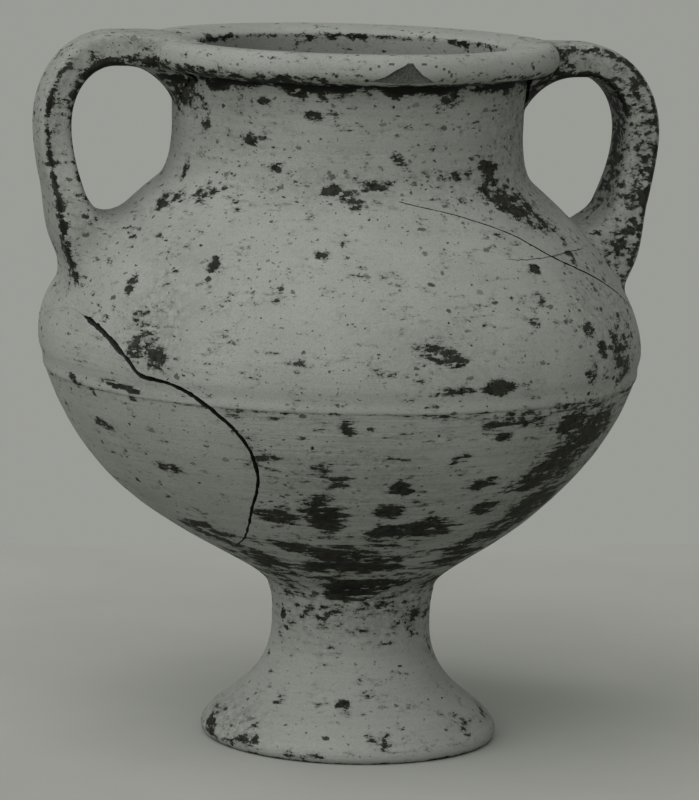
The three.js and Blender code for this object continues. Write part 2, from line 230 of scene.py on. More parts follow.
def spun(outline, closed=True):
    """A closed body: a thin wedge is spun, and then doubled until it closes the turn"""
    bm = bmesh.new()
    verts = [bm.verts.new(p) for p in outline]
    pairs = list(zip(verts, verts[1:])) + ([(verts[-1], verts[0])] if closed else [])
    edges = [bm.edges.new(pair) for pair in pairs]
    wedge = math.tau / 2 ** DOUBLINGS
    bmesh.ops.spin(bm, geom=verts + edges, cent=(0, 0, 0), axis=(0, 0, 1), angle=wedge,
                   steps=WEDGE_STEPS)
    for _ in range(DOUBLINGS):
        made = bmesh.ops.duplicate(bm, geom=[*bm.verts, *bm.edges, *bm.faces])["geom"]
        bmesh.ops.rotate(bm, cent=(0, 0, 0), matrix=Matrix.Rotation(wedge, 3, "Z"),
                         verts=[part for part in made if isinstance(part, bmesh.types.BMVert)])
        wedge *= 2
    bmesh.ops.remove_doubles(bm, verts=bm.verts, dist=0.001)
    bmesh.ops.recalc_face_normals(bm, faces=bm.faces)
    return bm


def smooth_rise(value, start, end):
    """0 before start, 1 after end, with a soft slope between"""
    t = min(max((value - start) / (end - start), 0), 1)
    return t * t * (3 - 2 * t)


BULGE = 2.6
BULGE_SPREAD = 17
BULGE_BEARING = math.radians(-103)
BULGE_Z = 157
bulge_centre = Matrix.Rotation(BULGE_BEARING, 3, "Z") @ Vector((0, -wall_radius(BULGE_Z), BULGE_Z))


def lean(height):
    """The foot was set on a little to the right, and the bowl eases back above it"""
    return FOOT_OFFSET * (1 - smooth_rise(height, BOWL_Z - FLOOR / 2, BOWL_Z + OFFSET_EASE))


def layered(p, across, up):
    """Noise that changes slowly round the pot and quickly up it, as a wheel leaves it"""
    return noise.noise(Vector((p.x * across, p.y * across, p.z * up)))


def unevenness(p):
    """How far the clay at p stands out from a true round"""
    swell = SWELL * noise.noise(p * 0.019)
    rings = RINGS * layered(p, across=0.006, up=0.21)
    ripples = RIPPLES * layered(p, across=0.02, up=0.7)
    bulge = BULGE * math.exp(-((p - bulge_centre) / BULGE_SPREAD).length_squared)
    return swell + rings + ripples + bulge


STEADY_RADIUS = 20


def by_hand(bm):
    """Gives a true body the unevenness of hand throwing, less near the axis, and the lean of the foot"""
    for v in bm.verts:
        out = Vector((v.co.x, v.co.y, 0))
        if out.length > 1:
            v.co += out.normalized() * unevenness(v.co) * min(1, out.length / STEADY_RADIUS)
        v.co.x += lean(v.co.z)
    return bm


# %% The vessel's sections as bodies
def section(bottom, top):
    """A ring of wall between two levels"""
    return by_hand(spun(between(wall_outline, bottom, top) + between(inner_outline, bottom, top)[::-1]))


def section_with_floor(top):
    inside = [p for p in inner_outline if p.z < top - CLEAR]
    outline = [at(0, BOWL_Z), *between(wall_outline, BOWL_Z, top), at(radius_at(inner_outline, top), top)]
    return by_hand(spun(outline + inside[::-1], closed=False))


def foot_body():
    rest = at(REST_RADIUS - REST_BREADTH, 0)
    throat = at(STEM_RADIUS - FOOT_WALL, THROAT_RISE)
    hollow = joined(
        bend(at(0, HOLLOW_RISE), (10, 0), (0, 8), throat, 2 * STEP),
        bend(throat, (0, -13), (-4, 7), rest, 2 * STEP))
    return by_hand(spun([*hollow, *foot_outline, at(0, BOWL_Z)], closed=False))


def outer_form():
    """The vessel's outside as one solid body, which the handles are pressed against"""
    return by_hand(spun([at(0, BOWL_Z), *wall_outline[:-1], *lip_outline, at(0, LIP_Z)], closed=False))


# %% [markdown]
# ## Breaks
#
# A break is a closed line on the wall. It is drawn flat first, as a bearing in degrees from the front, a
# rise above a joint of the pot, and how wide the break stands open there. Noise roughens it. The flat
# shape is cut into strips, pulled out into a block and then rolled round the pot, so the block's sides
# stand square to the wall. A Boolean with that block takes the hole out of the wall, and another one,
# with a slightly smaller block, leaves the sherd.

# %% The two broken edges
LEFT_BREAK = [
    (-72.5, 23.9, 0.3), (-70, 23, 1.7), (-65.6, 21.1, 2), (-60.7, 17.7, 1.9), (-56, 13.1, 1.8),
    (-52.3, 8.2, 1.6), (-46, 6.8, 1.5), (-40.5, 3.2, 1.5), (-35.5, -3, 1.5), (-31.8, -10, 1.5),
    (-30, -17.5, 1.5), (-30, -26.5, 1.4), (-32.3, -34.5, 1.2), (-37, -44.5, 1), (-44.5, -52.5, 0.5),
    (-56, -57.5, 0.1), (-70, -60, 0.05), (-86, -56.5, 0.05), (-99, -46.5, 0.05), (-107, -30.5, 0.05),
    (-109, -11.5, 0.05), (-105, 5.5, 0.05), (-96, 17.5, 0.05), (-85, 23.5, 0.05), (-78, 25, 0.05)]
RIGHT_BREAK = [
    (-5, 6, 0.3), (2, 0.5, 0.3), (19, -4.5, 0.3), (33, -11, 0.45), (43, -19.5, 0.65), (55, -27.5, 0.65),
    (64, -34.5, 0.5), (75, -43.5, 0.3), (90, -47.5, 0.3), (104, -45, 0.3), (117, -36, 0.3),
    (128, -22, 0.3), (136, -8, 0.3), (141, 6, 0.3)]
BREAK_STEP = 1.4
SHUT_CHIPS = 0.03
OPEN_CHIPS = 0.18
CHIPS_PER_MM = 0.28
GAPING = 0.5


def smooth_through(points, step, closed=True):
    """A smooth line through points, by the Catmull-Rom rule"""
    count = len(points)
    line = []
    for i in range(count if closed else count - 1):
        if closed:
            before, start, end, after = (points[(i + k) % count] for k in (-1, 0, 1, 2))
        else:
            before, start, end, after = (points[min(max(i + k, 0), count - 1)] for k in (-1, 0, 1, 2))
        pieces = max(2, round((end - start).length / step) + 1)
        line += interpolate_bezier(
            start, start + (end - before) / 6, end - (after - start) / 6, end, pieces)[:-1]
    return line if closed else line + [points[-1]]


def break_line(corners, level):
    """The flat line of a break: along the wall, up, and the opening, counter-clockwise"""
    flat = [Vector((math.radians(bearing) * BELLY_RADIUS, level + rise, opening))
            for bearing, rise, opening in corners]
    line = smooth_through(flat, BREAK_STEP)
    turn = sum(a.x * b.y - b.x * a.y for a, b in zip(line, line[1:] + line[:1]))
    return line if turn > 0 else line[::-1]


def chipped(line, side, seed):
    """The line moved to one side by half the opening, with chips of its own"""
    moved = []
    for i, p in enumerate(line):
        along = (line[(i + 1) % len(line)] - line[i - 1]).to_2d().normalized()
        spot = Vector((p.x, p.y, seed))
        rough = noise.noise(spot * CHIPS_PER_MM) + 0.6 * noise.noise(spot)
        opening = p.z * (1 + GAPING * noise.noise(Vector((p.x, p.y, 0)) * 0.5))
        shift = side * opening / 2 + rough * (SHUT_CHIPS + OPEN_CHIPS * p.z)
        moved.append(Vector((p.x + along.y * shift, p.y - along.x * shift)))
    return moved


# %% The block that cuts along a break, with its layers from outside the wall to near the axis
STRIP = 12
THROUGH = [
    lambda height: 1.5 * BELLY_RADIUS,
    lambda height: wall_radius(height) + 2,
    lambda height: max(wall_radius(height) - 2.5 * WALL, 24),
    lambda height: 12]


def break_block(line, layers=THROUGH):
    bm = bmesh.new()
    bm.faces.new([bm.verts.new((p.x, 0, p.y)) for p in line])
    left, right = min(p.x for p in line), max(p.x for p in line)
    for cut in np.arange(left + STRIP, right - STRIP / 2, STRIP):
        bmesh.ops.bisect_plane(bm, geom=[*bm.verts, *bm.edges, *bm.faces],
                               plane_co=(cut, 0, 0), plane_no=(1, 0, 0))
    bmesh.ops.triangulate(bm, faces=bm.faces)
    front = [*bm.faces, *bm.edges]
    for layer in range(1, len(layers)):
        made = bmesh.ops.extrude_face_region(bm, geom=front)["geom"]
        front = [part for part in made if not isinstance(part, bmesh.types.BMVert)]
        for v in {v for part in front for v in part.verts}:
            v.co.y = layer
    for v in bm.verts:
        bearing, radius = v.co.x / BELLY_RADIUS, layers[round(v.co.y)](v.co.z)
        v.co = (radius * math.sin(bearing) + lean(v.co.z), -radius * math.cos(bearing), v.co.z)
    bmesh.ops.recalc_face_normals(bm, faces=bm.faces)
    return bm


# %% Put an object in the scene, and cut one body with another
def placed(name, data):
    """A new object in the scene"""
    thing = bpy.data.objects.new(name, data)
    bpy.context.scene.collection.objects.link(thing)
    return thing


def as_object(bm):
    """A passing object for a modifier, which takes the body over"""
    mesh = bpy.data.meshes.new("passing")
    bm.to_mesh(mesh)
    bm.free()
    return placed("passing", mesh)


def carved(bm, tool, operation):
    """The body after a Boolean with the tool, DIFFERENCE or INTERSECT"""
    body, block = as_object(bm), as_object(tool)
    cut = body.modifiers.new("cut", "BOOLEAN")
    cut.operation = operation
    cut.object = block
    cut.solver = "MANIFOLD"
    result = bmesh.new()
    result.from_object(body, bpy.context.evaluated_depsgraph_get())
    for mesh in (body.data, block.data):
        bpy.data.meshes.remove(mesh)
    return result


left_break = break_line(LEFT_BREAK, RIDGE_Z)
right_break = break_line(RIGHT_BREAK, NECK_Z)
left_hole = chipped(left_break, 1, 3.1)
left_edge = chipped(left_break, -1, 7.7)
right_hole = chipped(right_break, 1, 12.4)
right_edge = chipped(right_break, -1, 12.4)

bowl = carved(section_with_floor(RIDGE_Z), break_block(left_hole), "DIFFERENCE")
shoulder = carved(section(RIDGE_Z, NECK_Z), break_block(left_hole), "DIFFERENCE")
shoulder = carved(shoulder, break_block(right_hole), "DIFFERENCE")
left_sherd = carved(section_with_floor(NECK_Z), break_block(left_edge), "INTERSECT")
right_sherd = carved(section_with_floor(NECK_Z), break_block(right_edge), "INTERSECT")
foot = foot_body()
neck = section(NECK_Z, LIP_Z)
lip = by_hand(spun(lip_outline))

# %% A hairline crack, and the flake missing from the lip
HAIRLINE = [(27, 181.5), (33.4, 180.8), (43, 180.8), (51, 181.2), (61, 180.8), (67, 183)]
HAIRLINE_WIDTH = 0.22
HAIRLINE_END_WIDTH = 0.04
HAIRLINE_DEPTH = 0.5
HAIRLINE_WAVER = 0.25
TAPER_POINTS = 6
CHIP_BEARING = math.radians(3)
CHIP_SET_IN = 0.2
CHIP_SLOPE = 0.27
CHIP = [(0.9, 249.2), (-0.6, 247.2), (-4.5, 245.3), (-8, 243), (-13.5, 241), (-14, 236), (10, 236),
        (9.5, 241.4), (5.5, 243.6), (2.8, 246.2)]


def hairline_strip(points):
    """A long thin closed line on both sides of a hairline, wavering as it goes"""
    flat = [Vector((math.radians(b) * BELLY_RADIUS, z, 0)) for b, z in points]
    line = smooth_through(flat, BREAK_STEP, closed=False)
    waver = [HAIRLINE_WAVER * noise.noise(p * 0.6) for p in line]
    taper = [min(1, i / TAPER_POINTS, (len(line) - 1 - i) / TAPER_POINTS) for i in range(len(line))]
    halves = [HAIRLINE_WIDTH * share / 2 + HAIRLINE_END_WIDTH / 2 for share in taper]
    upper = [p + Vector((0, w + half, 0)) for p, w, half in zip(line, waver, halves)]
    lower = [p + Vector((0, w - half, 0)) for p, w, half in zip(line, waver, halves)]
    return lower + upper[::-1]


def chip_face(height):
    """How far back the chip's bare face lies, which slopes in under the lip"""
    return -LIP_RADIUS + CHIP_SET_IN + CHIP_SLOPE * (TOP_Z - height)


def chip_block():
    """The missing flake: its outline pulled back to the bare face"""
    bm = bmesh.new()
    front = bm.faces.new([bm.verts.new((u, -LIP_RADIUS - 4, z)) for u, z in CHIP])
    made = bmesh.ops.extrude_face_region(bm, geom=[front, *front.edges])["geom"]
    for part in made:
        if isinstance(part, bmesh.types.BMVert):
            part.co.y = chip_face(part.co.z)
    bmesh.ops.triangulate(bm, faces=bm.faces)
    bmesh.ops.rotate(bm, cent=(0, 0, 0), matrix=Matrix.Rotation(CHIP_BEARING, 3, "Z"), verts=bm.verts)
    bmesh.ops.recalc_face_normals(bm, faces=bm.faces)
    return bm


shallow = [lambda height: wall_radius(height) + 3, lambda height: wall_radius(height) - HAIRLINE_DEPTH]
shoulder = carved(shoulder, break_block(hairline_strip(HAIRLINE), shallow), "DIFFERENCE")
right_sherd = carved(right_sherd, break_block(hairline_strip(HAIRLINE), shallow), "DIFFERENCE")
lip = carved(lip, chip_block(), "DIFFERENCE")
for name, body in (("bowl", bowl), ("shoulder", shoulder), ("left sherd", left_sherd),
                   ("right sherd", right_sherd), ("foot", foot), ("neck", neck), ("lip", lip)):
    print(name, len(body.faces), "faces")

# %% [markdown]
# ## Handles
#
# Each handle is a strap of clay, pulled, bent and pressed on at both ends. A flat grid is rolled into a
# tube along the strap's middle line. Its ends would stop dead at the wall, but the potter smeared them
# out. So every point that falls inside the wall is laid out flat on the wall's face, and then the points
# near the corner are moved out until they lie on a rounded fillet between strap and wall.

# %% The strap's middle line and its section
REACH = high("right_handle").x
CROWN_THICKNESS = 12
LIP_END_WIDTH = 29
ROOT_WIDTH = 40
ROOT_OUTER_SPREAD = 3
LIP_FLARE = 26
SMEAR_RUN = 21
TOP_RUN = 10
BEND_DROP = 32
SQUARENESS = 0.4
PRESSED_IN = 14
SUNK_IN_LIP = 2
START_IN_WALL = 13.5
LANDING_SLOPE = at(-0.5, -0.85).normalized()


def strap_line(top, reach, landing, pressed):
    """The middle line of a strap: out of the lip, round the bend and down into the shoulder"""
    run_z = top - CROWN_THICKNESS / 2
    start = at(LIP_RADIUS - START_IN_WALL, run_z - SUNK_IN_LIP)
    run_end = at(LIP_RADIUS + TOP_RUN, run_z)
    widest = at(reach, top - BEND_DROP)
    land = at(wall_radius(landing) - pressed, landing)
    way = LANDING_SLOPE * 4
    return joined(
        bend(start, (6, 2), (-TOP_RUN, 0), run_end),
        bend(run_end, (12, 0), (0, 15), widest),
        bend(widest, (0, -13), (8, 17), land),
        bend(land, (way.x, way.z), (-way.x, -way.z), land + LANDING_SLOPE * PRESSED_IN))


def near_end(distance, full, gone):
    """1 up to the distance full from an end, 0 from gone on"""
    return 1 - smooth_rise(distance, full, gone)


def squared(value):
    """Squares off an oval: -1 to 1, pushed outward"""
    return math.copysign(abs(value) ** SQUARENESS, value)


# %% Roll a grid into the strap, with the stretches near its ends over which its section changes
STRAP_SIDES = 84
STRAP_STATIONS = 200
CROWN_EASE = (25, 60)
OUTER_EASE = (6, 28)
INNER_EASE = (5, 22)
LIP_END_EASE = (8, 30)
ROOT_EASE = (6, 44)


def strap_tube(line, side, thickness, strap_width, gusset, inner_spread):
    """The strap as a tube with closed ends, on the +X side for side 1 and the -X side for side -1"""
    steps = [0, *np.cumsum([(b - a).length for a, b in zip(line, line[1:])])]
    length = steps[-1]
    end = length - PRESSED_IN

    def middle(done):
        return Vector([float(np.interp(done, steps, [p[k] for p in line])) for k in range(3)])

    bm = bmesh.new()
    turn_layer, along_layer = bm.verts.layers.float.new("turn"), bm.verts.layers.float.new("along")
    line_layer = bm.verts.layers.int.new("line")
    bmesh.ops.create_grid(bm, x_segments=STRAP_STATIONS, y_segments=STRAP_SIDES, size=0.5)
    for v in bm.verts:
        v[line_layer] = round((v.co.y + 0.5) * STRAP_SIDES) % STRAP_SIDES
        v[along_layer] = v.co.x + 0.5
        done, turn = (v.co.x + 0.5) * length, (v.co.y + 0.5) * math.tau
        left = end - done
        centre = middle(done)
        along = (middle(done + 1) - middle(done - 1)).normalized()
        half = (thickness + (CROWN_THICKNESS - thickness) * near_end(done, *CROWN_EASE)) / 2
        outer = half + ROOT_OUTER_SPREAD * near_end(left, *OUTER_EASE)
        inner = half + inner_spread * near_end(left, *INNER_EASE)
        smeared = max(0, 1 - done / SMEAR_RUN) ** 2
        width = strap_width + (LIP_END_WIDTH - strap_width) * near_end(done, *LIP_END_EASE)
        width += (ROOT_WIDTH - strap_width) * near_end(left, *ROOT_EASE)
        face = squared(math.sin(turn))
        reach = face * (outer if face > 0 else inner)
        across = side * squared(math.cos(turn))
        v[turn_layer] = 0.5 - math.atan2(face, -across) / math.tau
        width += LIP_FLARE * smeared * min(1, 1 + face)
        sunk = gusset * smeared * max(0, -face) * (1 - 0.8 * across ** 2)
        v.co = (side * (centre.x - along.z * reach), across * width / 2, centre.z + along.x * reach - sunk)
    bmesh.ops.remove_doubles(bm, verts=bm.verts, dist=0.001)
    bmesh.ops.holes_fill(bm, edges=[e for e in bm.edges if e.is_boundary])
    bmesh.ops.recalc_face_normals(bm, faces=bm.faces)
    return bm


# %% Press the strap's ends onto the vessel
LIP_FILLET = 3.5
LEAST_FILLET = 0.45
MOST_FILLET = 1.6
TUCK = 0.35
TUCK_EASE = (0.85, 1.2)
CLOSE = 0.02
SKIRT = 1.3
STRIDE = 3
STRIDES = 10
SETTLING = 7


def signed_distance(tree, p):
    """How far p lies outside a closed body, and the way out"""
    spot, way, _, gap = tree.find_nearest(p)
    return (gap if (p - spot).dot(way) > 0 else -gap), way


def fillet_between(size, wall_way, strap_way):
    """A corner that closes in gets a wide fillet, and faces that run on get nearly none"""
    return size * min(max(1.15 - wall_way.dot(strap_way), LEAST_FILLET), MOST_FILLET)


def entries(strap, form_tree):
    """How far from each end, and for each line along the strap, the wall is reached"""
    line_layer, along_layer = strap.verts.layers.int["line"], strap.verts.layers.float["along"]
    reached = {}
    for v in strap.verts:
        if signed_distance(form_tree, v.co)[0] < 0:
            key = (v[along_layer] < 0.5, v[line_layer])
            reached[key] = max(reached.get(key, 0.001), min(v[along_layer], 1 - v[along_layer]))
    return reached


def laid_out(p, share, size, strap_tree, form_tree):
    """A point inside the wall, brought up to its face and walked away from the strap along it"""
    depth, out = signed_distance(form_tree, p)
    p = p - out * depth
    goal = share * SKIRT * fillet_between(size, out, signed_distance(strap_tree, p)[1])
    for _ in range(STRIDES):
        gap, way = signed_distance(strap_tree, p)
        if gap > goal - CLOSE:
            break
        way -= out * way.dot(out)
        p += way.normalized() * min(goal - gap, STRIDE)
        depth, out = signed_distance(form_tree, p)
        p -= out * depth
    return p


def pressed_on(strap, form_tree, root_fillet):
    """Lays the strap's ends out on the wall, and rounds the corner between the two"""
    line_layer, along_layer = strap.verts.layers.int["line"], strap.verts.layers.float["along"]
    strap_tree = BVHTree.FromBMesh(strap)
    reached = entries(strap, form_tree)
    for v in strap.verts:
        at_lip = v[along_layer] < 0.5
        size = LIP_FILLET if at_lip else root_fillet
        if signed_distance(form_tree, v.co)[0] < 0:
            entry = reached[at_lip, v[line_layer]]
            share = 1 - min(v[along_layer], 1 - v[along_layer]) / entry
            v.co = laid_out(v.co, share, size, strap_tree, form_tree)
        for _ in range(SETTLING):
            to_wall, wall_way = signed_distance(form_tree, v.co)
            to_strap, strap_way = signed_distance(strap_tree, v.co)
            fillet = fillet_between(size, wall_way, strap_way)
            share = min(max(0.5 + (to_strap - to_wall) / (2 * fillet), 0), 1)
            height = to_strap * (1 - share) + to_wall * share - fillet * share * (1 - share)
            v.co -= (wall_way * share + strap_way * (1 - share)).normalized() * height
            if abs(height) < CLOSE:
                break
        v.co -= wall_way * TUCK * smooth_rise(to_strap / fillet, *TUCK_EASE)
    return strap


form = outer_form()
form_tree = BVHTree.FromBMesh(form)
form.free()
foot_tree = BVHTree.FromBMesh(foot)
left_line = strap_line(
    top=high("left_handle").z, reach=REACH - 5.9, landing=NECK_Z - 25, pressed=-0.8)
left_strap = strap_tube(
    left_line, side=-1, thickness=11.8, strap_width=21, gusset=11, inner_spread=3)
left_handle = pressed_on(left_strap, form_tree, root_fillet=12)
right_line = strap_line(
    top=high("right_handle").z, reach=REACH - 5.3, landing=NECK_Z - 30.5, pressed=4)
right_strap = strap_tube(
    right_line, side=1, thickness=13, strap_width=24, gusset=13, inner_spread=8)
right_handle = pressed_on(right_strap, form_tree, root_fillet=5)
print("the handles have", len(left_handle.faces), "and", len(right_handle.faces), "faces")

# %% [markdown]
# ## Finish the meshes
#
# The bodies are scaled to metres, shaded smooth with sharp broken edges, and take the place of their
# CAD nodes.

# %% Turn a body into a finished piece
SHARP = math.radians(38)


def finished(name, node, bm):
    bmesh.ops.transform(bm, matrix=Matrix.Scale(MM, 4), verts=bm.verts)
    mesh = bpy.data.meshes.new(name)
    bm.to_mesh(mesh)
    bm.free()
    mesh.shade_smooth()
    mesh.set_sharp_from_angle(angle=SHARP)
    piece = placed(name, mesh)
    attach(piece, "root")
    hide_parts(node)
    return piece


bodies = {
    "foot": ("pedestal_foot", foot), "bowl": ("lower_bowl", bowl), "shoulder": ("shoulder_wall", shoulder),
    "left_sherd": ("left_wall_sherd", left_sherd), "right_sherd": ("right_shoulder_sherd", right_sherd),
    "neck": ("neck_collar", neck), "lip": ("rim_lip", lip),
    "left_handle": ("left_handle", left_handle), "right_handle": ("right_handle", right_handle)}
pieces = {name: finished(name + "_skin", node, bm) for name, (node, bm) in bodies.items()}
for name, piece in pieces.items():
    print(name, len(piece.data.polygons))

# %% [markdown]
# ## Camera
#
# The camera stands where the photograph was taken from. It was fitted to the ellipses of the mouth, the
# ridge and the foot. `seen_at` sends a ray through a place in the picture and tells where it meets the
# clay, so a mark can be laid down where the photograph shows it.

# %% The camera, and what it sees at a place in the picture
PHOTO_WIDTH = 699
PHOTO_HEIGHT = 800
VIEW_TURN = math.radians(13)
VIEW_PITCH = math.radians(8.896)
VIEW_ROLL = math.radians(1.55)
VIEW_PLACE = Vector((3.5, -1673, 383.14))
FILM_HEIGHT = 36
LENS = 214.02
camera_data = bpy.data.cameras.new("camera")
camera_data.sensor_fit = "VERTICAL"
camera_data.sensor_height = FILM_HEIGHT
camera_data.lens = LENS
camera = placed("camera", camera_data)
stance = (
    Matrix.Rotation(-VIEW_TURN, 4, "Z") @ Matrix.Translation(VIEW_PLACE)
    @ Matrix.Rotation(math.radians(90) - VIEW_PITCH, 4, "X") @ Matrix.Rotation(VIEW_ROLL, 4, "Z"))
camera.matrix_world = Matrix.Scale(MM, 4) @ stance @ Matrix.Scale(1 / MM, 4)
bpy.context.scene.camera = camera


def seen_at(x, y):
    """Bearing and height of the clay that shows at a place in the picture"""
    on_film = Vector((x - PHOTO_WIDTH / 2, PHOTO_HEIGHT / 2 - y)) * FILM_HEIGHT / PHOTO_HEIGHT
    eye = stance.translation
    way = stance.to_3x3() @ Vector((*on_film, -LENS))
    hits = [tree.ray_cast(eye, way)[0] for tree in (form_tree, foot_tree)]
    spot = min((hit for hit in hits if hit), key=lambda hit: (hit - eye).length)
    return math.degrees(math.atan2(spot.x, -spot.y)), spot.z


LIP_IN_PICTURE = (352, 66)
print("the front of the lip shows at", [round(value) for value in seen_at(*LIP_IN_PICTURE)])

# %% [markdown]
# ## Where the dark deposit and the painted shade lie
#
# The clay carries an old, nearly black deposit. It sits in patches, in a crust under the lip and along
# the handles, and in fine lines where the wheel left ridges. The patches that catch the eye were read off
# the photograph: a place in the picture, in pixels, then half a length and half a height in millimetres, a
# tilt that rises to the right, and how dense the patch is. They are painted on the mesh as a soft
# attribute.
# The shader breaks them up into islands with noise, so no patch shows its oval.
# The same attribute also carries painted shade: on the lip's lower band and under it, under the ridge,
# the mouth, round the bowl's base and the stem, and along the foot's resting edge.
# under the handles' arches and along their inner side, in the hollows by the handles, inside the back of

# %% Patches on the neck and shoulder
PATCHES = [
    (170, 199, 5.5, 4, 28, 0.95), (206, 195, 4.5, 3, 0, 0.85), (187, 168, 2.5, 3, 0, 0.8),
    (203, 126, 4, 2, 10, 0.8), (251, 138, 2.2, 2.2, 0, 1), (262, 100, 2.6, 1.2, -10, 0.9),
    (275, 166, 4.2, 1.6, 15, 1), (314, 117, 2.4, 1.6, 0, 1), (333, 190, 3.6, 1.6, 10, 0.9),
    (348, 198, 3.6, 1.8, -20, 0.8), (380, 187, 5, 2, -5, 1), (452, 99, 5, 3, 20, 1),
    (398, 158, 2.2, 1.5, 0, 0.9), (456, 176, 6, 1.6, -5, 0.9), (488, 169, 4.5, 4, 20, 1),
    (490, 190, 7, 2.6, 0, 1), (505, 200, 9, 5.5, -25, 1), (525, 208, 8, 6.5, -40, 1),
    (323, 256, 2.5, 1.6, 15, 0.9), (213, 265, 2, 2, 0, 0.9), (131, 284, 2.4, 3.6, 10, 0.9),
    (143, 321, 5, 3.5, 0, 0.75), (139, 346, 6, 4.4, 30, 0.9), (156, 356, 3.6, 3.6, 0, 1),
    (76, 288, 2.6, 1.7, -15, 1), (120, 386, 9, 1.2, -6, 0.9), (79, 385, 6, 1.8, -18, 0.9),
    (440, 355, 6, 3.4, -5, 0.9), (455, 362, 4, 2, 10, 1), (460, 391, 8, 1.1, 2, 0.9),
    (500, 388, 7, 2.2, 3, 1), (538, 299, 3.4, 2.2, 0, 0.9), (532, 315, 3.4, 3.4, 0, 0.8),
    (536, 269, 2, 1.6, -20, 0.9), (590, 328, 3, 2, 0, 0.95), (604, 349, 3.2, 3, 0, 1),
    (593, 374, 4, 3, 0, 1), (622, 352, 11, 9, 10, 0.85), (569, 252, 4.5, 2.4, 45, 0.9)]

# %% Patches on the bowl, mostly long along the wheel's lines, and on the foot
PATCHES += [
    (348, 429, 2.5, 2, 0, 0.9), (322, 469, 3.4, 2.6, 0, 0.9), (342, 482, 3.4, 1.6, 0, 1),
    (402, 489, 4, 2, -10, 1), (325, 515, 7, 5.5, -12, 1.15), (278, 517, 8, 2, -4, 1),
    (388, 513, 5, 2.2, -4, 0.9), (388, 537, 8, 4, 0, 0.95), (427, 528, 11, 3, 3, 1.05),
    (338, 555, 13, 3.4, 0, 0.95), (350, 567, 18, 4, 2, 1.05), (290, 546, 8, 2.6, -8, 0.85),
    (265, 560, 8, 5, -14, 0.85), (350, 590, 10, 4.6, 0, 1.15), (385, 584, 1.8, 3, 0, 0.8),
    (270, 458, 3.8, 1.2, 4, 0.9), (106, 425, 5, 2, -15, 0.85), (170, 468, 6, 1.9, -7, 1.1),
    (210, 532, 10, 4.5, -13, 0.9), (520, 421, 14, 1.8, 4, 0.85), (578, 420, 14, 4, 10, 0.95),
    (583, 440, 17, 8, 20, 1.05), (550, 472, 15, 7, 12, 1), (535, 503, 13, 9, 20, 0.95),
    (470, 547, 10, 10, 20, 0.95), (462, 459, 3.4, 1.6, 12, 1), (486, 483, 4.4, 2, 8, 1),
    (486, 506, 5, 3, 10, 0.9), (505, 437, 3, 1.4, 10, 0.95),
    (345, 709, 2.6, 2.8, 25, 0.85), (280, 703, 3, 1.8, -5, 0.75), (210, 725, 9, 3, -30, 1.1),
    (243, 740, 9, 1.8, 0, 0.9), (283, 614, 2, 1.8, 0, 0.95), (300, 603, 4, 1.4, -5, 0.7),
    (378, 738, 3.4, 3.4, 0, 0.7), (300, 756, 9, 1.6, 0, 0.75), (487, 715, 5, 3, 20, 0.5),
    (460, 721, 3, 3, 0, 0.6)]
STAINS = [(*seen_at(x, y), *rest) for x, y, *rest in PATCHES]
print(len(STAINS), "patches, the first at", [round(value) for value in STAINS[0][:2]])

# %% Where the small specks crowd: a bearing and a height, and then the same four values
CROWDS = [
    (-52, 156, 15, 17, 0, 0.85), (-52, 176, 14, 7, 0, 0.35), (-78, 160, 10, 10, 0, 0.3),
    (-50, 222, 22, 14, 0, 0.3), (-20, 204, 34, 6, 0, 0.5), (25, 205, 24, 7, 0, 0.5),
    (54, 158, 24, 22, 0, 0.8), (52, 196, 18, 10, 0, 0.8), (56, 220, 16, 20, 0, 1), (8, 152, 26, 12, 0, 0.4),
    (-10, 108, 26, 14, 0, 0.6), (50, 108, 34, 26, 0, 1.1), (-75, 8, 24, 8, 0, 0.9),
    (70, 8, 20, 8, 0, 0.15), (-35, 48, 30, 10, 0, 0.6), (30, 48, 24, 11, 0, 0.8)]

# %% Read a mesh as arrays, and paint an attribute on it
def rise_of(values, start, end):
    """0 before start, 1 after end, for a whole array"""
    t = np.clip((values - start) / (end - start), 0, 1)
    return t * t * (3 - 2 * t)


def fall_of(values, start, end):
    """1 before start, 0 after end"""
    return 1 - rise_of(values, start, end)


def read_points(mesh):
    """Bearing in degrees, height and radius of every point, in millimetres"""
    flat = np.empty(len(mesh.vertices) * 3)
    mesh.vertices.foreach_get("co", flat)
    x, y, z = flat.reshape(-1, 3).T / MM
    shift = FOOT_OFFSET * fall_of(z, BOWL_Z - FLOOR / 2, BOWL_Z + OFFSET_EASE)
    return np.degrees(np.arctan2(x, -y)), z, np.hypot(x - shift, y)


def paint(mesh, name, values):
    attribute = mesh.attributes.new(name, "FLOAT", "POINT")
    attribute.data.foreach_set("value", values.astype(np.float32))


MARGIN = 0.4
FULL_WITHIN = 0.45
GONE_BEYOND = 1.65


def stained(patches, bearing, z, radius):
    """How dense the patches are at each point"""
    dense = np.zeros(len(z))
    for b, height, half_length, half_height, tilt, strength in patches:
        turn = math.radians(tilt)
        along = np.radians(bearing - b) * radius
        up = z - height
        across = along * math.cos(turn) + up * math.sin(turn)
        rise = up * math.cos(turn) - along * math.sin(turn)
        reach = np.hypot(across / (half_length + MARGIN), rise / (half_height + MARGIN))
        dense = np.maximum(dense, strength * fall_of(reach, FULL_WITHIN, GONE_BEYOND))
    return dense


def band(values, centre, half, strength):
    """Full at the centre, and gone half a breadth away"""
    return strength * fall_of(np.abs(values - centre), 0, half)


# %% Paint the vessel's own pieces
def wave(bearing, count, shift=0):
    """Goes up and down count times round the pot"""
    return np.sin(np.radians(bearing * count + shift))


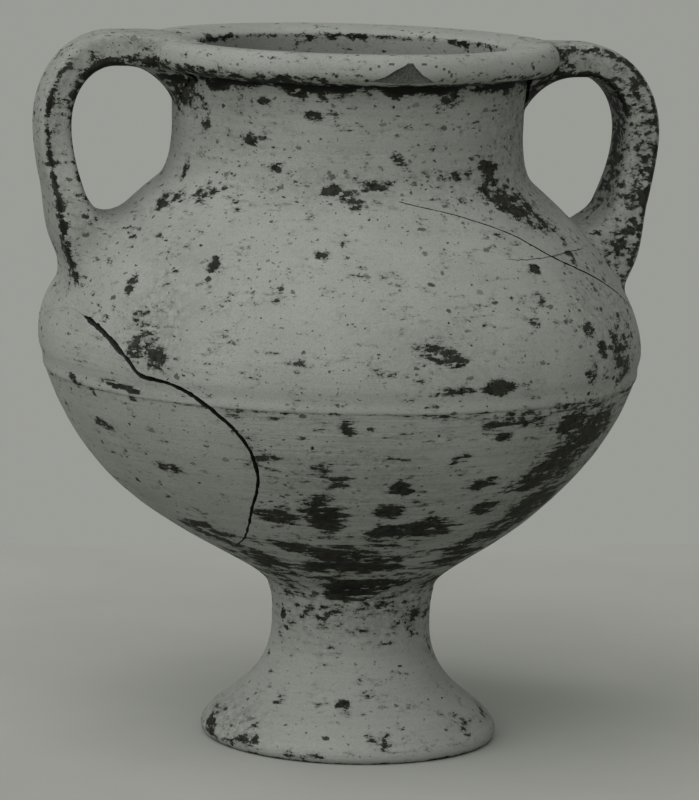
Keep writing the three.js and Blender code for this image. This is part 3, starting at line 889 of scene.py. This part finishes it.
def paint_wall(mesh):
    bearing, z, radius = read_points(mesh)
    outer_skin = np.interp(z, [p.z for p in wall_outline], [p.x for p in wall_outline])
    on_outer_skin = rise_of(radius - outer_skin, -4, -3)
    # painted shade under the ridge's small step, with dirt: a thin dark line all round
    ridge = band(z, RIDGE_Z - 0.4, 1.6, 0.62)
    # painted shade under the lip's overhang, with a ragged crust of deposit dripping from it
    ragged = LIP_Z - 2.4 - 1.2 * wave(bearing, 11) - wave(bearing, 23, 40)
    under_lip = 1.35 * rise_of(z, ragged - 2, ragged + 1.8)
    # the neck behind the handles, under the lip: deposit, and painted shade in the hollow by the strap
    by_handle = rise_of(np.abs(wave(bearing, 1)), 0.88, 0.96) * rise_of(z, NECK_Z + 22, LIP_Z - 6)
    # darker round the bowl's base: remains of dark paint, and painted shade under the bowl
    low_bowl = fall_of(z, BOWL_Z + 4, BOWL_Z + 44) * rise_of(z, BOWL_Z - 4, BOWL_Z + 2)
    stains = stained(STAINS, bearing, z, radius)
    crust_and_shade = np.max([stains, ridge, under_lip, 0.95 * by_handle, 0.42 * low_bowl], axis=0)
    paint(mesh, "crust_and_shade", crust_and_shade * on_outer_skin)
    paint(mesh, "speckled", stained(CROWDS, bearing, z, radius))


def paint_lip(mesh):
    bearing, z, radius = read_points(mesh)
    outside = rise_of(radius, 61, 62)
    # the lip's underside: painted shade, with a line of deposit
    under = 1.3 * outside * fall_of(z, LIP_Z + 0.8, LIP_Z + 2.8)
    # painted shade on the lip's lower, rolled part, stronger on the left
    left_side = fall_of(bearing, -35, -8)
    rolled = band(z, LIP_Z + 2.8, 3.8, 1) * (0.55 + 0.6 * left_side) * outside
    # the back of the mouth, under the far rim's inner edge: painted shade, with a line of deposit on the
    # edge
    edge = band(np.hypot(radius - MOUTH_RADIUS, z - TOP_Z + 3.6), 0, 2.4, 1.2)
    edge *= rise_of(np.abs(bearing), 50, 80) * (0.8 + 0.4 * wave(bearing, 7))
    inside = fall_of(radius, MOUTH_RADIUS - 1, MOUTH_RADIUS + 1) * rise_of(np.abs(bearing), 40, 70)
    inside *= 0.5 + 0.3 * rise_of(-bearing, 40, 70) * fall_of(-bearing, 120, 140)
    paint(mesh, "crust_and_shade", np.max([under, rolled, edge, inside], axis=0))
    paint(mesh, "speckled", np.zeros(len(z)))


def paint_foot(mesh):
    bearing, z, radius = read_points(mesh)
    stains = stained(STAINS, bearing, z, radius)
    # painted shade along the foot's resting edge, where it meets the table, with some crust
    rest = band(z, 0, 1.8, 1.1)
    left_toe = 0.35 * fall_of(z, 7, 15) * rise_of(-bearing, 26, 56)
    # darker towards the top of the stem: painted shade under the bowl, with deposit
    stem = 0.45 * rise_of(z, 34, 50)
    paint(mesh, "crust_and_shade", np.max([stains, rest, left_toe, stem], axis=0))
    paint(mesh, "speckled", stained(CROWDS, bearing, z, radius))


for name in ("bowl", "shoulder", "left_sherd", "right_sherd", "neck"):
    paint_wall(pieces[name].data)
paint_lip(pieces["lip"].data)
paint_foot(pieces["foot"].data)

# %% [markdown]
# On the handles the deposit follows the strap. Its edge, or arris, is where hands never rub it clean.
# Under the arches the darkening is painted shade with deposit, and along the straps' inner side it is
# painted shade.
# The strap kept a value for how far round its section each point lies: 0.25 is the outer face, 0.5 the
# flank towards us and 0.75 the inner face.

# %% Paint the handles
def line_at(turn, place, breadth):
    return np.exp(-((turn - place) / breadth) ** 2)


def handle_points(mesh):
    turn = np.empty(len(mesh.vertices))
    mesh.attributes["turn"].data.foreach_get("value", turn)
    return turn, *read_points(mesh)


def paint_left_handle(mesh):
    turn, bearing, z, radius = handle_points(mesh)
    broken = 1.3 + 0.3 * np.sin(z * 0.55) * np.sin(z * 0.21 + 1)
    place = np.interp(z, [165, 205], [0.36, 0.42])
    arris = broken * line_at(turn, place, 0.026) * rise_of(z, 160, 174) * fall_of(z, 238, 243)
    bend_patch = 0.8 * line_at(turn, 0.45, 0.05) * band(z, 228, 12, 1) * rise_of(radius, 95, 100)
    # painted shade under the arch, with deposit
    underside = 1.15 * line_at(turn, 0.6, 0.045) * rise_of(z, 214, 230) * rise_of(radius, 68, 74)
    # painted shade along the strap's inner edge
    inner_edge = 0.8 * line_at(turn, 0.62, 0.03) * rise_of(z, 190, 202)
    # the strap's end under the lip: deposit, and painted shade in the hollow by the neck
    by_lip = 0.62 * fall_of(radius, 70, 80) * fall_of(z, 240, 244) * rise_of(z, 212, 232)
    # the band under the lip carried onto the strap: painted shade, with deposit
    corner = band(z, LIP_Z - 1.5, 4.5, 1.4) * fall_of(radius, 68, 76)
    paint(mesh, "crust_and_shade", np.max([arris, bend_patch, underside, inner_edge, by_lip, corner], axis=0))
    paint(mesh, "speckled", (0.3 + 0.6 * line_at(turn, 0.46, 0.1)) * rise_of(z, 160, 195))


def paint_right_handle(mesh):
    turn, bearing, z, radius = handle_points(mesh)
    outer_line = line_at(turn, 0.4, 0.025) * rise_of(z, 158, 172)
    # painted shade on the strap's inner face
    inner_face = 0.95 * line_at(turn, 0.74, 0.1) * rise_of(z, 183, 200)
    # the inner arris under the arch: deposit, and painted shade under the arch
    arris = 1.25 * line_at(turn, 0.62, 0.035) * rise_of(z, 212, 230)
    flank = 0.62 * line_at(turn, 0.5, 0.1) * rise_of(z, 160, 180) * fall_of(z, 236, 246)
    # the strap's end under the lip: deposit, and painted shade in the hollow by the neck
    by_lip = 1.1 * fall_of(radius, 72, 80) * fall_of(z, 240, 244) * rise_of(z, 215, 232)
    crown = 1.1 * line_at(turn, 0.42, 0.06) * band(radius, 76, 5, 1) * rise_of(z, 240, 243)
    root = 0.85 * band(z, 163, 14, 1) * line_at(turn, 0.42, 0.08)
    paint(mesh, "crust_and_shade", np.max([outer_line, inner_face, arris, flank, by_lip, crown, root], axis=0))
    paint(mesh, "speckled", 0.4 + 0.5 * line_at(turn, 0.5, 0.14))


paint_left_handle(pieces["left_handle"].data)
paint_right_handle(pieces["right_handle"].data)

# %% [markdown]
# ## Clay
#
# Every piece is the same fired clay, seen in a grey, slightly green light, but each has its own share of
# lines, grain, specks and deposit. Those effects are node groups. They work on object coordinates, and
# all pieces share one frame, so a streak runs on from one piece to the next.

# %% Helpers for nodes
def node(tree, kind, inputs=None, **settings):
    """Adds a node, with its settings and with its inputs set or linked"""
    made = tree.nodes.new(kind)
    for name, value in settings.items():
        setattr(made, name, value)
    for name, value in (inputs or {}).items():
        if isinstance(value, bpy.types.NodeSocket):
            tree.links.new(value, made.inputs[name])
        else:
            made.inputs[name].default_value = value
    return made


def maths(tree, operation, *values):
    made = node(tree, "ShaderNodeMath", dict(enumerate(values)), operation=operation)
    return made.outputs[0]


def ramp(tree, value, start, end, low_value=0.0, high_value=1.0):
    """The value mapped from start..end to low..high, and held there beyond them"""
    made = node(tree, "ShaderNodeMapRange", {"Value": value, "From Min": start, "From Max": end,
                                            "To Min": low_value, "To Max": high_value})
    return made.outputs["Result"]


def new_group(name, inputs, outputs):
    tree = bpy.data.node_groups.new(name, "ShaderNodeTree")
    for title, value in inputs.items():
        socket = tree.interface.new_socket(title, in_out="INPUT", socket_type="NodeSocketFloat")
        socket.default_value = value
    for title in outputs:
        tree.interface.new_socket(title, in_out="OUTPUT", socket_type="NodeSocketFloat")
    return tree, tree.nodes.new("NodeGroupInput").outputs, tree.nodes.new("NodeGroupOutput").inputs


def field(tree, scale, stretch=1.0, detail=3.0, roughness=0.55, shift=0.0):
    """Noise on object coordinates, its spots drawn out sideways by stretch"""
    where = node(tree, "ShaderNodeTexCoord").outputs["Object"]
    drawn_out = node(tree, "ShaderNodeMapping", {"Vector": where, "Location": (shift, shift, shift),
                                                "Scale": (1, 1, stretch)})
    made = node(tree, "ShaderNodeTexNoise", {"Vector": drawn_out.outputs["Vector"], "Scale": scale,
                                            "Detail": detail, "Roughness": roughness})
    return made.outputs["Fac"]


# %% Wheel lines
wheel_lines, _, wheel_out = new_group("wheel_lines", {}, ["Fine", "Broad"])
fine = field(wheel_lines, 28, stretch=32, detail=3, roughness=0.6)
broad = field(wheel_lines, 9, stretch=18, detail=3, shift=3.1)
wheel_lines.links.new(ramp(wheel_lines, fine, 0.3, 0.7), wheel_out["Fine"])
wheel_lines.links.new(ramp(wheel_lines, broad, 0.3, 0.7), wheel_out["Broad"])

# %% Grain and mottling of fired clay
fired_grain, _, grain_out = new_group("fired_grain", {}, ["Grain", "Mottle", "Pits"])
grain = field(fired_grain, 1500, detail=3, roughness=0.7)
mottle = field(fired_grain, 38, detail=5, roughness=0.6, shift=1.7)
pits = field(fired_grain, 650, detail=2, shift=5.3)
fired_grain.links.new(ramp(fired_grain, grain, 0.25, 0.75), grain_out["Grain"])
fired_grain.links.new(ramp(fired_grain, mottle, 0.3, 0.7), grain_out["Mottle"])
fired_grain.links.new(ramp(fired_grain, pits, 0.66, 0.74), grain_out["Pits"])

# %% [markdown]
# The deposit is noise against a threshold. The painted attribute moves the threshold, so a dense place
# is nearly covered and a bare one keeps only stray dots. Drawn-out noise gives it the streaks of the
# bowl, where it clings to the wheel's ridges.
# The painted attribute also holds painted shade, which the same threshold draws in the deposit's colours.

# %% Dark deposit, and the painted shade drawn in its colours
FILM_FROM = 0.2
CRUST_FROM = 0.58
CRUST_FULL = 0.66
deposit_and_shade, deposit_and_shade_in, deposit_and_shade_out = new_group(
    "deposit_and_shade", {"Painted": 0.0, "Everywhere": 0.0, "Streaked": 0.0}, ["Mask", "Film", "Thinness"])
blotches = field(deposit_and_shade, 240, stretch=1.7, detail=8, roughness=0.72)
islands = field(deposit_and_shade, 85, stretch=1.8, detail=3, shift=2.3)
streaks = field(deposit_and_shade, 75, stretch=8, detail=8, roughness=0.72, shift=4.4)
spread = node(deposit_and_shade, "ShaderNodeMix", {"Factor": deposit_and_shade_in["Streaked"], 2: blotches, 3: streaks})
pattern = maths(deposit_and_shade, "MULTIPLY_ADD", maths(deposit_and_shade, "SUBTRACT", spread.outputs[0], 0.5), 5.0,
                maths(deposit_and_shade, "MULTIPLY_ADD", islands, 1.6, -0.8))
level = maths(deposit_and_shade, "ADD", maths(deposit_and_shade, "MULTIPLY_ADD", deposit_and_shade_in["Painted"], 0.8, pattern),
              deposit_and_shade_in["Everywhere"])
deposit_and_shade.links.new(ramp(deposit_and_shade, level, CRUST_FROM, CRUST_FULL), deposit_and_shade_out["Mask"])
deposit_and_shade.links.new(ramp(deposit_and_shade, level, FILM_FROM, CRUST_FULL), deposit_and_shade_out["Film"])
thickness = field(deposit_and_shade, 420, detail=4, roughness=0.6, shift=6.1)
thin = maths(deposit_and_shade, "MULTIPLY", ramp(deposit_and_shade, thickness, 0.35, 0.65),
             ramp(deposit_and_shade, deposit_and_shade_in["Painted"], 1.0, 1.25, 1.0, 0.0))
deposit_and_shade.links.new(thin, deposit_and_shade_out["Thinness"])

# %% [markdown]
# The specks are small round or oblong dots of the same deposit. Voronoi cells give each one its place,
# and the cell's own random colour gives its size, so most cells stay empty.

# %% Specks
SPECK_FLATNESS = 1.7
RAGGEDNESS = 0.0024
specks, speck_in, speck_out = new_group("specks", {"Amount": 0.3, "Cells": 170.0, "Size": 0.3}, ["Mask"])
where = node(specks, "ShaderNodeTexCoord").outputs["Object"]
wobble = node(specks, "ShaderNodeTexNoise", {"Vector": where, "Scale": 520.0, "Detail": 3.0})
push = node(specks, "ShaderNodeVectorMath", {0: wobble.outputs["Color"], "Scale": RAGGEDNESS},
            operation="SCALE")
bent = node(specks, "ShaderNodeVectorMath", {0: where, 1: push.outputs[0]}, operation="ADD")
flat = node(specks, "ShaderNodeMapping", {"Vector": bent.outputs[0], "Scale": (1, 1, SPECK_FLATNESS)})
cells = node(specks, "ShaderNodeTexVoronoi", {"Vector": flat.outputs["Vector"], "Scale": speck_in["Cells"]})
chance = node(specks, "ShaderNodeSeparateColor", {"Color": cells.outputs["Color"]})
crowd = ramp(specks, field(specks, 34, detail=2, shift=7.7), 0.35, 0.65, 0.3, 1.3)
share = maths(specks, "MULTIPLY", speck_in["Amount"], crowd)
over = maths(specks, "SUBTRACT", maths(specks, "ADD", chance.outputs["Red"], share), 1.0)
chosen = maths(specks, "MAXIMUM", maths(specks, "DIVIDE", over, share), 0.0)
size = maths(specks, "MULTIPLY", chosen, speck_in["Size"])
inside_dot = maths(specks, "SUBTRACT", size, cells.outputs["Distance"])
depth = ramp(specks, chance.outputs["Green"], 0, 1, 0.4, 1.0)
specks.links.new(maths(specks, "MULTIPLY", ramp(specks, inside_dot, -0.02, 0.07), depth), speck_out["Mask"])

# %% Make a clay
PALE = (0.30, 0.315, 0.288, 1)
DULL = (0.215, 0.226, 0.204, 1)
# the deposit's colours, which also draw the painted shade
DEPOSIT_AND_SHADE = (0.009, 0.009, 0.007, 1)
THIN_DEPOSIT_AND_SHADE = (0.032, 0.033, 0.027, 1)
FILM_AND_SHADE = (0.1, 0.103, 0.088, 1)
SPECK_SIZES = ((180.0, 0.3, 1.75), (310.0, 0.29, 1.5), (520.0, 0.28, 1.5))
CLAY_ROUGHNESS = 0.86
DEPOSIT_ROUGHNESS = 0.66
SHEEN = 0.1
MOTTLING = 0.5
BROAD_LINES = 0.7
GRAININESS = 0.9
FILM_SHARE = 0.55
CROWD_FILM = 0.5
GRAIN_HEIGHT = 0.5 * MM
GRAIN_RELIEF = 0.16
DEPOSIT_RELIEF = 0.3
LINE_RELIEF = 0.5
PIT_RELIEF = -0.35
RELIEF_STRENGTH = 0.7


def colour_mix(tree, factor, first, second):
    made = node(tree, "ShaderNodeMix", {"Factor": factor, 6: first, 7: second}, data_type="RGBA")
    return made.outputs[2]


def swing(tree, value, amount, base):
    """The base raised or lowered by a value that swings about one half"""
    return maths(tree, "MULTIPLY_ADD", maths(tree, "SUBTRACT", value, 0.5), amount, base)


def new_material(name):
    material = bpy.data.materials.new(name)
    material.use_nodes = True
    return material, material.node_tree, material.node_tree.nodes["Principled BSDF"].inputs


def clay(name, tone, lines, amount, everywhere=0.0, streaked=0.0):
    """One piece's clay: how pale, how lined, how specked, and how its deposit lies"""
    material, tree, surface = new_material(name)
    wheel = node(tree, "ShaderNodeGroup", node_tree=wheel_lines).outputs
    fired = node(tree, "ShaderNodeGroup", node_tree=fired_grain).outputs
    painted = node(tree, "ShaderNodeAttribute", attribute_name="crust_and_shade").outputs["Fac"]
    deposit_and_shade_masks = node(tree, "ShaderNodeGroup", node_tree=deposit_and_shade)
    tree.links.new(painted, deposit_and_shade_masks.inputs["Painted"])
    deposit_and_shade_masks.inputs["Everywhere"].default_value = everywhere
    deposit_and_shade_masks.inputs["Streaked"].default_value = streaked
    speckled = node(tree, "ShaderNodeAttribute", attribute_name="speckled").outputs["Fac"]
    crowded = maths(tree, "ADD", speckled, 0.6)
    dotted = None
    for cells_per_metre, dot_size, share in SPECK_SIZES:
        dots = node(tree, "ShaderNodeGroup", node_tree=specks)
        tree.links.new(maths(tree, "MULTIPLY", crowded, amount * share), dots.inputs["Amount"])
        dots.inputs["Cells"].default_value = cells_per_metre
        dots.inputs["Size"].default_value = dot_size
        mask = dots.outputs["Mask"]
        dotted = mask if dotted is None else maths(tree, "MAXIMUM", dotted, mask)

    body = swing(tree, fired["Mottle"], MOTTLING, tone)
    body = swing(tree, wheel["Fine"], lines, body)
    body = swing(tree, wheel["Broad"], lines * BROAD_LINES, body)
    body = swing(tree, fired["Grain"], GRAININESS, body)
    ground = colour_mix(tree, body, DULL, PALE)
    film = maths(tree, "MULTIPLY", deposit_and_shade_masks.outputs["Film"], FILM_SHARE)
    crowd_film = maths(tree, "MULTIPLY", speckled, deposit_and_shade_masks.outputs["Thinness"])
    film = maths(tree, "MULTIPLY_ADD", crowd_film, CROWD_FILM, film)
    # the film and crust colours also lay down the painted shade that the attribute holds
    film_and_shade_colour = colour_mix(tree, film, ground, FILM_AND_SHADE)
    crust_and_shade_colour = colour_mix(tree, deposit_and_shade_masks.outputs["Thinness"], DEPOSIT_AND_SHADE, THIN_DEPOSIT_AND_SHADE)
    dark = maths(tree, "MAXIMUM", deposit_and_shade_masks.outputs["Mask"], dotted)
    tree.links.new(colour_mix(tree, dark, film_and_shade_colour, crust_and_shade_colour), surface["Base Color"])
    tree.links.new(ramp(tree, dark, 0, 1, CLAY_ROUGHNESS, DEPOSIT_ROUGHNESS), surface["Roughness"])
    surface["Specular IOR Level"].default_value = SHEEN

    height = maths(tree, "MULTIPLY", dark, DEPOSIT_RELIEF)
    height = maths(tree, "MULTIPLY_ADD", fired["Grain"], GRAIN_RELIEF, height)
    height = maths(tree, "MULTIPLY_ADD", wheel["Fine"], lines * LINE_RELIEF, height)
    height = maths(tree, "MULTIPLY_ADD", fired["Pits"], PIT_RELIEF, height)
    bump = node(tree, "ShaderNodeBump", {"Height": height, "Distance": GRAIN_HEIGHT,
                                         "Strength": RELIEF_STRENGTH})
    tree.links.new(bump.outputs["Normal"], surface["Normal"])
    return material


CLAYS = {
    "foot": dict(tone=0.78, lines=0.25, amount=0.28, streaked=0.35),
    "bowl": dict(tone=0.52, lines=0.6, amount=0.55, everywhere=0.12, streaked=0.6),
    "shoulder": dict(tone=0.64, lines=0.12, amount=0.5, everywhere=0.03, streaked=0.35),
    "left_sherd": dict(tone=0.55, lines=0.25, amount=0.36, everywhere=0.02, streaked=0.5),
    "right_sherd": dict(tone=0.62, lines=0.12, amount=0.5, everywhere=0.03, streaked=0.35),
    "neck": dict(tone=0.56, lines=0.32, amount=0.5, everywhere=0.05, streaked=0.3),
    "lip": dict(tone=0.62, lines=0.12, amount=0.3, everywhere=-0.12),
    "left_handle": dict(tone=0.55, lines=0.05, amount=0.45, everywhere=0.02),
    "right_handle": dict(tone=0.55, lines=0.05, amount=0.6, everywhere=0.06)}
clays = {name: clay(name + "_clay", **values) for name, values in CLAYS.items()}
print(len(clays), "clays")

# %% [markdown]
# The faces of the breaks are painted dark: old dirt, and painted shade inside the open breaks. A break runs
# through the wall, so its faces lie between the wall's two skins, and that is how they are found. The place
# of the lip's lost flake is cleaner: it is bare, rougher clay, and it is found by how far it lies inside
# the lip's outline.

# %% Dirt and painted shade on the broken faces, and the bare clay of the chip
BARE_DARK = (0.03, 0.031, 0.026, 1)
BARE_PALE = (0.14, 0.147, 0.13, 1)
BREAK_HEIGHT = 0.6 * MM
UNDER_SKIN = 0.3
ON_FACE = 0.05


def rough_clay(name, first, second):
    material, tree, surface = new_material(name)
    fired = node(tree, "ShaderNodeGroup", node_tree=fired_grain).outputs
    tree.links.new(colour_mix(tree, swing(tree, fired["Mottle"], 0.8, fired["Grain"]), first, second),
                   surface["Base Color"])
    tree.links.new(ramp(tree, fired["Mottle"], 0, 1, 0.8, 0.95), surface["Roughness"])
    bump = node(tree, "ShaderNodeBump", {"Height": fired["Grain"], "Distance": BREAK_HEIGHT})
    tree.links.new(bump.outputs["Normal"], surface["Normal"])
    return material


def depth_in_wall(p):
    """How far below the outer skin and above the inner skin p lies, in level millimetres"""
    out = Vector((p.x - lean(p.z), p.y, 0)).length - unevenness(p)
    return wall_radius(p.z) - out, out - radius_at(inner_outline, p.z)


def mark(mesh, material, chosen):
    mesh.materials.append(material)
    for face in mesh.polygons:
        if chosen(face.center / MM):
            face.material_index = 1


def on_chip_face(p):
    turned_back = Matrix.Rotation(-CHIP_BEARING, 3, "Z") @ p
    return p.z < TOP_Z - 0.8 and p.y < -60 and abs(turned_back.y - chip_face(p.z)) < ON_FACE


# dark dirt, and painted shade, for the faces inside the breaks
dirt_and_shade = rough_clay("dirt_and_shade", DEPOSIT_AND_SHADE, THIN_DEPOSIT_AND_SHADE)
bare_clay = rough_clay("bare_clay", BARE_DARK, BARE_PALE)
for name, piece in pieces.items():
    piece.data.materials.append(clays[name])
for name in ("bowl", "shoulder", "left_sherd", "right_sherd"):
    mark(pieces[name].data, dirt_and_shade, lambda p: min(depth_in_wall(p)) > UNDER_SKIN)
mark(pieces["lip"].data, bare_clay, on_chip_face)

# %% [markdown]
# ## Floor and light
#
# The pot stands on a plain pale table in front of a plain pale wall. The wall is the world's own colour,
# which the camera sees a little differently from what lights the clay. One sun, from the left, the front
# and above, stands for a window: it spreads over a wide angle, so its shadows are soft. The floor is
# drawn in metres from the start.

# %% The floor, with the table's far edge
FLOOR_HALF = 4
FLOOR_DARK = (0.345, 0.35, 0.322, 1)
FLOOR_PALE = (0.38, 0.385, 0.356, 1)
TABLE_DEPTH = 0.365
TABLE_TURN = math.radians(-4.8)
bm = bmesh.new()
bmesh.ops.create_grid(bm, x_segments=1, y_segments=1, size=FLOOR_HALF)
bmesh.ops.translate(bm, vec=(0, TABLE_DEPTH - FLOOR_HALF, 0), verts=bm.verts)
bmesh.ops.rotate(bm, cent=(0, 0, 0), matrix=Matrix.Rotation(TABLE_TURN, 3, "Z"), verts=bm.verts)
floor_mesh = bpy.data.meshes.new("floor")
bm.to_mesh(floor_mesh)
bm.free()
floor = placed("floor", floor_mesh)
floor_paint, tree, surface = new_material("floor_paint")
cloth = ramp(tree, field(tree, 9, detail=4), 0.3, 0.7)
tree.links.new(colour_mix(tree, cloth, FLOOR_DARK, FLOOR_PALE), surface["Base Color"])
surface["Roughness"].default_value = 0.9
floor_mesh.materials.append(floor_paint)

# %% Light
SUN_STRENGTH = 2.4
SUN_SPREAD = math.radians(85)
SUN_WAY = Vector((1.15, 1.1, -1.7))
ROOM_LIGHT = (0.335, 0.344, 0.324, 1)
ROOM_SEEN = (0.327, 0.333, 0.307, 1)
sun = bpy.data.lights.new("window", "SUN")
sun.energy = SUN_STRENGTH
sun.angle = SUN_SPREAD
window = placed("window", sun)
window.rotation_euler = SUN_WAY.to_track_quat("-Z", "Y").to_euler()

world = bpy.data.worlds.new("room")
world.use_nodes = True
tree = world.node_tree
ray = node(tree, "ShaderNodeLightPath").outputs
seen = maths(tree, "MAXIMUM", ray["Is Camera Ray"],
             maths(tree, "MAXIMUM", ray["Is Glossy Ray"], ray["Is Transmission Ray"]))
room = colour_mix(tree, seen, ROOM_LIGHT, ROOM_SEEN)
tree.links.new(room, tree.nodes["Background"].inputs["Color"])
bpy.context.scene.world = world
bpy.context.scene.view_settings.view_transform = "Standard"
